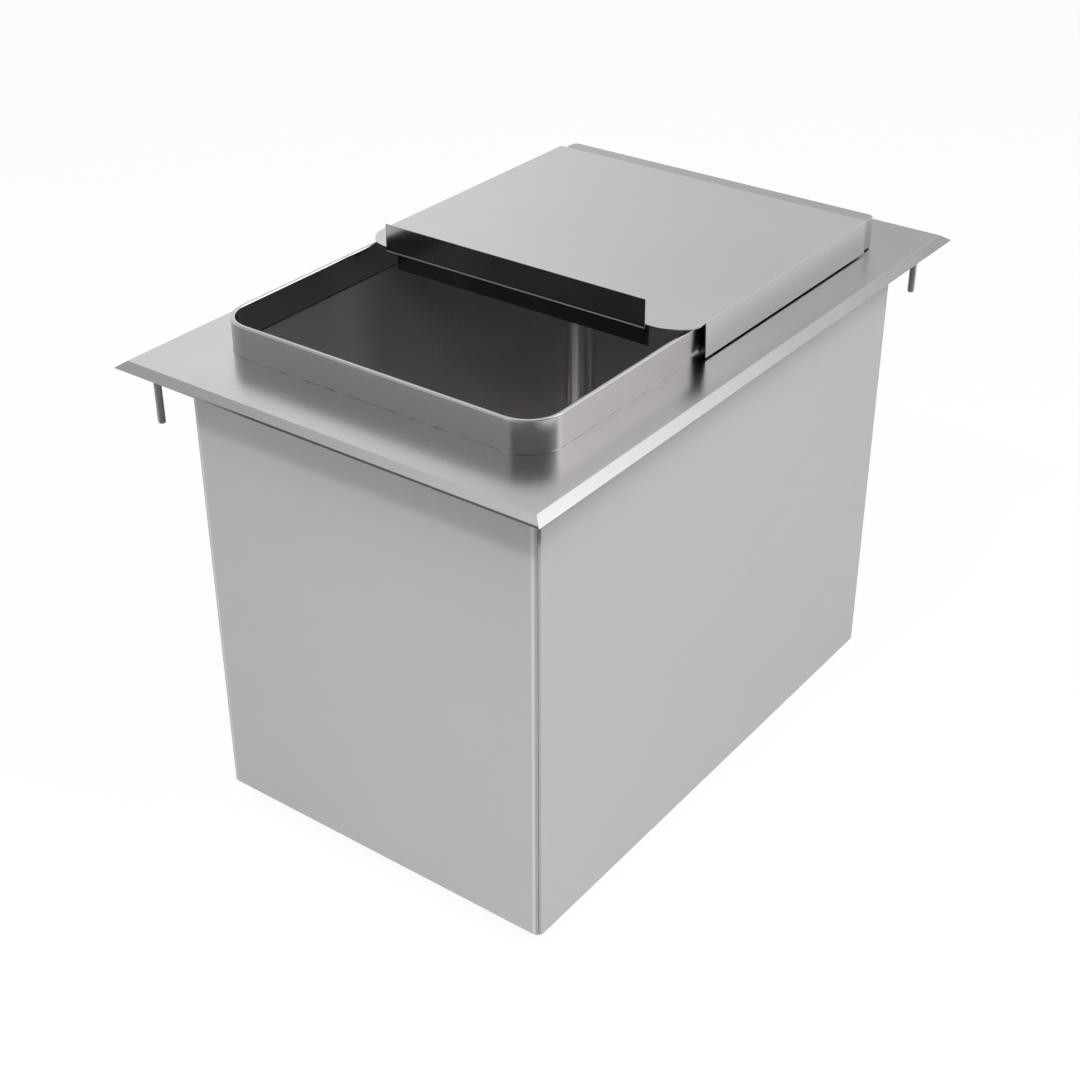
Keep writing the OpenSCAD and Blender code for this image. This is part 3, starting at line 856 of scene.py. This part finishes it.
class ICEBIN_OT_casing(Operator):
    """Makes the four bent panels of the casing and its bottom pan"""
    bl_idname = "icebin.casing"
    bl_label = "Casing"

    def execute(self, context):
        s, f = sheets(), finishes()
        low, high = box_mm("casing_front")
        wide, deep = 2 * box_mm("casing_right")[1].x, 2 * abs(low.y)
        ends_steel, sides_steel = (
            brushed_steel(name, f.casing, f.dull, f.casing_metal, grain=0.8, cloud=0.012)
            for name in ("dull_casing_ends", "dull_casing_sides")
        )
        # Painted light on the casing: a painted highlight on the bends of the end panels, painted
        # shade on the seams beside them and on the seams of the side panels, and a painted shadow
        # at the top of the side seams
        wide_seam, deep_seam = wide / 2 - s.seam, deep / 2 - s.seam
        painted_light_band(ends_steel, 0, wide / 2 - s.casing_bend - HIGHLIGHT_REACH, f.bend_painted_highlight)
        painted_light_band(ends_steel, 0, wide_seam, f.seam_painted_shade)
        painted_light_band(sides_steel, 1, deep_seam + LAP, f.seam_painted_shade)
        painted_light_band(sides_steel, 1, deep_seam, f.seam_top_painted_shadow, high.z - s.notch)
        for side, width, out, turn in (
            ("front", wide, deep / 2, 0), ("rear", wide, deep / 2, 180),
            ("right", deep, wide / 2, 90), ("left", deep, wide / 2, 270),
        ):
            notched = side in ("right", "left")
            steel = (sides_steel if notched else ends_steel).material
            panel = self.panel(context, "panel_" + side, width, out, low.z, high.z, notched)
            done(turned(panel, turn), "bin", steel, ["casing_" + side])
        self.bottom(ends_steel.material)
        return {"FINISHED"}

    def panel(self, context, name, width, out, low, high, notched):
        """A front panel: upright sheet whose two ends turn the corner up to the seam."""
        s, angles = sheets(), context.scene.ice_bin_angles
        radius, half = s.casing_bend, width / 2 - s.casing_bend
        top = high - s.relief
        deselect()
        bpy.ops.mesh.primitive_plane_add(
            size=1, rotation=(radians(90), 0, 0),
            location=(0, -out * MM, middle(low, high) * MM),
        )
        obj = begin(name, (2 * half, high - low, 1))
        # Turns at a corner and their steps. A notch takes away the last part above its foot
        turns = [(angles.bend_turn, 6)]
        if notched:
            turns = [(angles.bend_turn - angles.relief_turn, 4), (angles.relief_turn, 2)]
            split_at(2, top)
        for side in (1, -1):
            reached = 0.0
            for step, (turn, count) in enumerate(turns):
                x = side * (half + radius * sin(reached))
                y = radius * (1 - cos(reached)) - out
                pick("EDGE", lambda c, p: (
                    all(abs(q.x - x) < TIGHT and abs(q.y - y) < TIGHT for q in p)
                    and (step == 0 or c.z < top)
                ))
                bpy.ops.mesh.spin(
                    steps=count, angle=-turn * side, axis=(0, 0, 1),
                    center=(side * half * MM, (radius - out) * MM, 0),
                )
                reached += turn
        close_edit(lambda c, n: n.y < 0)
        thicken(obj, s.pan)
        eased(obj, CASING_EASE, segments=1, angle=60)
        return obj

    def bottom(self, steel):
        s = sheets()
        low, high = box_mm("casing_bottom")
        obj = rounded_outline(
            "panel_bottom", low, high, s.casing_bend - s.pan, high.z, segments=5,
        )
        select_all("FACE")
        extrude_faces(low.z - high.z)
        pick("EDGE", on(2, low.z))
        round_fold(s.pan_edge)
        pick("FACE", lambda c, p: len(p) > 4 and abs(c.z - high.z) < LOOSE)
        delete("FACE")
        close_edit(lambda c, n: n.z < 0)
        thicken(obj, s.pan)
        grommet_low, grommet_high = box_mm("drain_grommet")
        reach = 5 * s.pan
        hole = round_bar(
            "pan_hole", middle(grommet_high.x, box_mm("drain_nipple")[1].x), low.z - reach,
            low.z + reach, y=middle(grommet_low.y, grommet_high.y), vertices=48,
        )
        leave_edit()
        modify(obj, "BOOLEAN", operation="DIFFERENCE", object=hole, solver="EXACT")
        bpy.data.objects.remove(hole)
        done(obj, "bin", steel, ["casing_bottom"])


class ICEBIN_OT_covers(Operator):
    """Makes the sliding lid with its handle, and the rear cover with its skirts and front flange"""
    bl_idname = "icebin.covers"
    bl_label = "Covers"

    def execute(self, context):
        s, f = sheets(), finishes()
        foot = box_mm("deck")[1].z + s.skirt_gap
        for make, body, name, colour, ahead in (
            (self.lid, "sliding_lid", "brushed_lid", f.lid, f.handle_painted_shade),
            (self.cover, "rear_cover", "brushed_cover", f.cover, f.flange_painted_shade),
        ):
            # The fronts of the handle and of the cover's flange get painted shade
            steel = brushed_steel(
                name, colour, f.satin, grain=0.6, cloud=0.015, forward=f.mirror,
                ahead_painted_shade=ahead,
            )
            done(make(s, foot), body, steel.material, [body])
        return {"FINISHED"}

    def span(self, s, half):
        """The ends in X of the handle or the front flange, which stand left of the middle."""
        return s.handle_shift - half, s.handle_shift + half

    def fold_down(self, edges, drop, bend, spread=1.0):
        """Extrudes the edges that pass downwards, spreads their feet, and rounds the fold."""
        pick("EDGE", edges)
        extrude_edges(-drop)
        stretch(spread)
        pick("EDGE", edges)
        round_fold(bend)

    def finish_sheet(self, obj, s):
        close_edit(lambda c, n: n.z > 0)
        thicken(obj, s.thin)
        eased(obj, COVER_EASE, segments=1, angle=60)

    def lid(self, s, foot):
        low, high = box_mm("sliding_lid")
        thin, radius = s.thin, s.lid_radius
        top = box_mm("rear_cover")[1].z + s.cover_rise + s.lid_gap + thin
        half, skirt_front = high.x - s.lid_lean, low.y + radius
        start, end = self.span(s, high.x - s.handle_side)
        obj = flat_sheet("lid_sheet", (-half, low.y), (half, high.y), top)
        round_corners(lambda c, p: c.y < low.y + LOOSE, radius, segments=12)
        for x in (start - STEP_BACK, start, end, end + STEP_BACK):
            split_at(0, x)
        # The handle's plate stands before the sheet
        pick("VERT", lambda c, p: (
            c.y < low.y + LOOSE and start - LOOSE < c.x < end + LOOSE
        ))
        move(y=thin)
        self.fold_down(
            both(on(2, top), lambda c, p: abs(abs(c.x) - half) < TIGHT and c.y > skirt_front),
            top - foot, s.bend, high.x / half,
        )
        self.finish_sheet(obj, s)
        # The plate reaches below the lid, where it ends in a small bead
        size, heel = s.bead, top - s.handle_foot
        bead = self.strip("handle_bead", start, end, low.y, 2 * size, heel, heel + 1.2 * size)
        plate = self.strip(
            "handle_plate", start, end, low.y + thin / 2, thin, heel + size / 2, high.z,
        )
        return joined("lid_sheet", [obj, bead, plate])

    def strip(self, name, start, end, y, deep, low, high):
        """A level bar with softened edges between two places in X and two heights."""
        deselect()
        bpy.ops.mesh.primitive_cube_add(
            size=1, location=(middle(start, end) * MM, y * MM, middle(low, high) * MM),
        )
        obj = begin(name, (end - start, deep, high - low))
        select_all()
        round_fold(deep * BAR_EASE)
        leave_edit()
        return obj

    def cover(self, s, foot):
        low, high = box_mm("rear_cover")
        radius, back = s.cover_radius, s.cover_rear_radius
        skirt_front = box_mm("sliding_lid")[0].y + s.lid_radius + s.cover_skirt
        start, end = self.span(s, high.x - s.flange_side)
        top = high.z + s.cover_rise
        obj = flat_sheet("cover_sheet", low, high, top)
        round_corners(lambda c, p: c.y < low.y + LOOSE, radius, segments=8)
        round_corners(lambda c, p: c.y > high.y - LOOSE, back, segments=6)
        for x in (start, end):
            split_at(0, x)
        split_at(1, skirt_front)
        self.fold_down(both(on(2, top), lambda c, p: all(
            q.y < low.y + LOOSE and start - LOOSE < q.x < end + LOOSE for q in p
        )), s.flange_drop + s.cover_rise, s.bend)

        def in_rear_corner(c, p):
            x, y = high.x - back, high.y - back
            return abs(c.x) > x and c.y > y and all(
                abs(hypot(abs(q.x) - x, q.y - y) - back) < LOOSE for q in p
            )

        self.fold_down(both(on(2, top), lambda c, p: (
            (abs(abs(c.x) - high.x) < TIGHT and c.y > skirt_front)
            or abs(c.y - high.y) < TIGHT or in_rear_corner(c, p)
        )), top - foot, s.bend)
        self.finish_sheet(obj, s)
        return obj


class ICEBIN_OT_studs(Operator):
    """Makes the two threaded hold-down studs with their welds"""
    bl_idname = "icebin.studs"
    bl_label = "Studs"

    def execute(self, context):
        t = in_mm("ice_bin_threads")
        low, high = box_mm("mounting_studs")
        radius, depth, weld = t.stud_radius, t.stud_depth, t.weld
        core = radius - depth
        x, y = low.x + radius, low.y + radius
        turns = thread(
            "stud_front_left", radius, depth, t.stud_pitch, low.z + t.stud_tip * 0.8,
            high.z, t.steps, x, y,
        )
        tip = round_bar("stud_tip", core, low.z, low.z + t.stud_tip, x, y)
        self.round_foot(low.z, core * 0.4, segments=3)
        start = high.z - weld
        bead = round_bar("stud_weld", radius * 0.9, start, high.z, x, y, radius + weld)
        self.round_foot(start, 0.4, segments=2)
        stud = joined("stud_front_left", [turns, tip, bead])
        steel = turned_metal("stud_steel", finishes().stud, 0.38)
        other = turned(copied(stud, "stud_rear_right"), 180)
        for piece in (stud, other):
            done(piece, "bin", steel, ["mounting_studs"])
        return {"FINISHED"}

    def round_foot(self, height, radius, segments):
        pick("FACE", on(2, height))
        round_fold(radius, segments)
        leave_edit()


class ICEBIN_OT_drain(Operator):
    """Makes the drain: socket, strainer, nut, grommet, gaskets and the threaded outlet pipe"""
    bl_idname = "icebin.drain"
    bl_label = "Drain"

    def execute(self, context):
        metal = turned_metal("turned_steel", finishes().fitting, 0.3)
        rubber = moulded("black_rubber", (0.03, 0.03, 0.032), 0.6, 900.0)
        fibre = moulded("pressed_fibre", (0.4, 0.17, 0.1), 0.75, 700.0)
        for node, name, body, slot, material, ease in (
            ("drain_body", "drain_socket", "bin", "drain_metal", metal, 0.4),
            ("drain_strainer", "strainer_plate", "strainer", "drain_metal", metal, 0.2),
            ("drain_locknut", "lock_nut", "bin", "drain_metal", metal, 0.6),
            ("drain_grommet", "rubber_grommet", "bin", "gasket_rubber", rubber, 0.5),
        ):
            piece = merged_copy(node, name)
            eased(piece, ease, segments=2, angle=50)
            done(piece, body, material, [node])
        for node, material in (("drain_gasket_upper", rubber), ("drain_gasket_lower", fibre)):
            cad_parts[node].data.materials[0] = material
        done(self.outlet(), "bin", metal, ["drain_nipple"])
        return {"FINISHED"}

    def outlet(self):
        """The plain pipe, its lower end turned down to the core of a thread around it."""
        t = in_mm("ice_bin_threads")
        low, high = box_mm("drain_nipple")
        y, radius, depth = middle(low.y, high.y), t.pipe_radius, t.pipe_depth
        top = low.z + t.pipe_thread
        pipe = merged_copy("drain_nipple", "outlet_pipe")
        edit()
        pick("VERT", lambda c, p: (
            c.z < top - LOOSE and hypot(c.x, c.y - y) > radius - LOOSE
        ))
        core = (radius - depth + CORE_COVER) / radius
        stretch(core, core, y)
        leave_edit()
        turns = thread(
            "pipe_thread", radius, depth, t.pipe_pitch, low.z + THREAD_FOOT, top - THREAD_TOP,
            t.steps * 2, 0, y,
        )
        # Only the skin of the thread is kept, so the bore stays open
        edit()
        pick("FACE", lambda c, p: len(p) > 8)
        delete("ONLY_FACE")
        leave_edit()
        return joined("outlet_pipe", [pipe, turns])


class ICEBIN_OT_insulation(Operator):
    """Gives the foam boards between well and casing their finish"""
    bl_idname = "icebin.insulation"
    bl_label = "Insulation"

    def execute(self, context):
        foam = foam_board("rigid_foam", finishes().foam)
        for side in ("front", "rear", "left", "right", "bottom"):
            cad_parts["insulation_" + side].data.materials[0] = foam
        return {"FINISHED"}


# Studio

# Camera of the photograph: its place in metres and its turns in degrees
EYE = (0.79918, -1.11195, 0.60934)
TURN, TILT, ROLL = 36.49, -31.5, -0.11
# Floor: radius and drop below the bin in metres, tone, glow, and the glow's share where it's seen
FLOOR_RADIUS, FLOOR_DROP = 7.0, 0.0005
FLOOR_TONE, FLOOR_GLOW, GLOW_SHARE = 0.72, 1.04, 0.91
# Places in metres and diameters of the lamps, none of which polished metal mirrors
LAMPS = {
    "key": ((0.26, -1.87, 2.06), 0.22),
    "front": ((1.34, -1.59, 1.87), 1.0),
    "top": ((-0.2, -1.12, 2.56), 1.1),
    "side": ((1.93, 0.2, 2.01), 1.1),
}
# Soft panels of the room as polished metal shows them: direction in degrees to the right of the
# rear and degrees up, half width and softness of the edge in degrees, and how much brighter or
# darker than the room each is
PANELS = (
    (34, 48, 26, 24, 1.14),
    (48, 38, 18, 17, 1.33),
    (24, 36, 16, 15, -0.23),
    (14, 28, 15, 14, -0.52),
    (75, 32, 16, 14, 0.28),
    (125, 30, 62, 10, -0.73),
    (-24, 23, 14, 13, -0.39),
    (-36, 34, 12, 11, -0.12),
    (-50, 24, 13, 12, 0.24),
    (-62, 26, 15, 14, -0.22),
    (-98, 42, 26, 24, -0.43),
    (-118, 60, 15, 14, 0.35),
    (-143, 28, 36, 34, -0.38),
)


def direction(turn, lift):
    a, e = radians(turn), radians(lift)
    return sin(a) * cos(e), cos(a) * cos(e), sin(e)


class ICEBIN_OT_studio(Operator):
    """Makes the floor, the lamps, the room and the camera"""
    bl_idname = "icebin.studio"
    bl_label = "Studio"

    def execute(self, context):
        scene = context.scene
        studio = scene.ice_bin_studio
        scene.view_settings.view_transform = "Standard"
        self.camera(scene, studio)
        for name, (place, size) in LAMPS.items():
            self.lamp(name + "_lamp", place, size, getattr(studio, name))
        self.floor()
        self.room(scene, studio)
        return {"FINISHED"}

    def camera(self, scene, studio):
        deselect()
        bpy.ops.object.camera_add(location=EYE)
        camera = bpy.context.object
        camera.name = "camera"
        turn = (
            Matrix.Rotation(radians(TURN), 4, "Z")
            @ Matrix.Rotation(radians(90 + TILT), 4, "X")
            @ Matrix.Rotation(radians(ROLL), 4, "Z")
        )
        camera.matrix_world = Matrix.Translation(EYE) @ turn
        camera.data.lens = studio.lens
        camera.data.sensor_width = 36
        camera.data.clip_end = 60
        scene.camera = camera

    def lamp(self, name, place, size, power):
        """A round soft lamp that points at the bin and that polished metal doesn't mirror."""
        deselect()
        bpy.ops.object.light_add(type="AREA", location=place)
        lamp = bpy.context.object
        lamp.name = name
        lamp.rotation_euler = (-Vector(place)).to_track_quat("-Z", "Y").to_euler()
        lamp.data.shape = "DISK"
        lamp.data.size = size
        lamp.data.energy = power
        lamp.visible_glossy = False

    def floor(self):
        deselect()
        bpy.ops.mesh.primitive_circle_add(
            vertices=96, radius=FLOOR_RADIUS, fill_type="NGON",
            location=(0, 0, CAD_BOX[0].z - FLOOR_DROP),
        )
        floor = bpy.context.object
        floor.name = "floor"
        made = Finish("pale_floor", (FLOOR_TONE, FLOOR_TONE, FLOOR_TONE), 0.8, 0.0)
        made.set("Roughness", made.spread(made.noise(40.0), 0.75, 0.85))
        path = made.node("LightPath")
        seen = made.maths("MAXIMUM", path["Is Camera Ray"], path["Is Glossy Ray"])
        seen = made.maths("MAXIMUM", seen, path["Is Transmission Ray"])
        glow = made.node("Emission", {"Color": (1, 1, 1, 1), "Strength": FLOOR_GLOW})
        mixed = made.node("MixShader", {
            0: made.maths("MULTIPLY", seen, GLOW_SHARE), 1: made.shader.outputs[0], 2: glow[0],
        })
        output = made.tree.nodes["Material Output"]
        made.tree.links.new(mixed[0], output.inputs["Surface"])
        floor.data.materials.append(made.material)

    def room(self, scene, studio):
        """White for the camera, dim for dull faces, and with soft panels for polished metal."""
        world = bpy.data.worlds.new("studio_room")
        world.use_nodes = True
        scene.world = world
        world.node_tree.nodes.clear()
        made = Nodes(world.node_tree)
        way = made.node("TexCoord")["Generated"]
        bright = made.node("Value")[0]
        bright.default_value = studio.room
        for turn, lift, width, soft, change in PANELS:
            bright = made.maths("ADD", bright, made.spread(
                made.dot(way, direction(turn, lift)), 0, change, cos(radians(width)),
                cos(radians(width - soft)), "SMOOTHSTEP",
            ))
        path = made.node("LightPath")
        strength = made.mix(path["Is Glossy Ray"], studio.sky, bright)
        strength = made.mix(path["Is Camera Ray"], strength, 1.0)
        sky = made.node("Background", {"Color": (1, 1, 1, 1), "Strength": strength})
        made.node("OutputWorld", {"Surface": sky[0]})


PIECES = (
    ICEBIN_OT_deck, ICEBIN_OT_rim, ICEBIN_OT_well, ICEBIN_OT_casing, ICEBIN_OT_covers,
    ICEBIN_OT_studs, ICEBIN_OT_drain, ICEBIN_OT_insulation, ICEBIN_OT_studio,
)
GROUPS = {
    "ice_bin_finishes": IceBinFinishes,
    "ice_bin_sheets": IceBinSheets,
    "ice_bin_angles": IceBinAngles,
    "ice_bin_threads": IceBinThreads,
    "ice_bin_studio": IceBinStudio,
}


class ICEBIN_PT_panel(Panel):
    """Lists the sizes, the colours and the steps of the ice bin"""
    bl_idname = "ICEBIN_PT_panel"
    bl_label = "Ice bin"
    bl_space_type = "VIEW_3D"
    bl_region_type = "UI"
    bl_category = "Ice bin"

    def draw(self, context):
        for piece in PIECES:
            self.layout.operator(piece.bl_idname)
        for name, group in GROUPS.items():
            column = self.layout.column()
            for value in group.__annotations__:
                column.prop(getattr(context.scene, name), value)


def register():
    for group in GROUPS.values():
        bpy.utils.register_class(group)
    for name, group in GROUPS.items():
        setattr(bpy.types.Scene, name, PointerProperty(type=group))
    for piece in PIECES:
        bpy.utils.register_class(piece)
    bpy.utils.register_class(ICEBIN_PT_panel)


def unregister():
    bpy.utils.unregister_class(ICEBIN_PT_panel)
    for piece in reversed(PIECES):
        bpy.utils.unregister_class(piece)
    for name in GROUPS:
        delattr(bpy.types.Scene, name)
    for group in reversed(GROUPS.values()):
        bpy.utils.unregister_class(group)


def main():
    register()
    bpy.ops.icebin.deck()
    bpy.ops.icebin.rim()
    bpy.ops.icebin.well()
    bpy.ops.icebin.casing()
    bpy.ops.icebin.covers()
    bpy.ops.icebin.studs()
    bpy.ops.icebin.drain()
    bpy.ops.icebin.insulation()
    bpy.ops.icebin.studio()


if __name__ == "__main__":
    main()
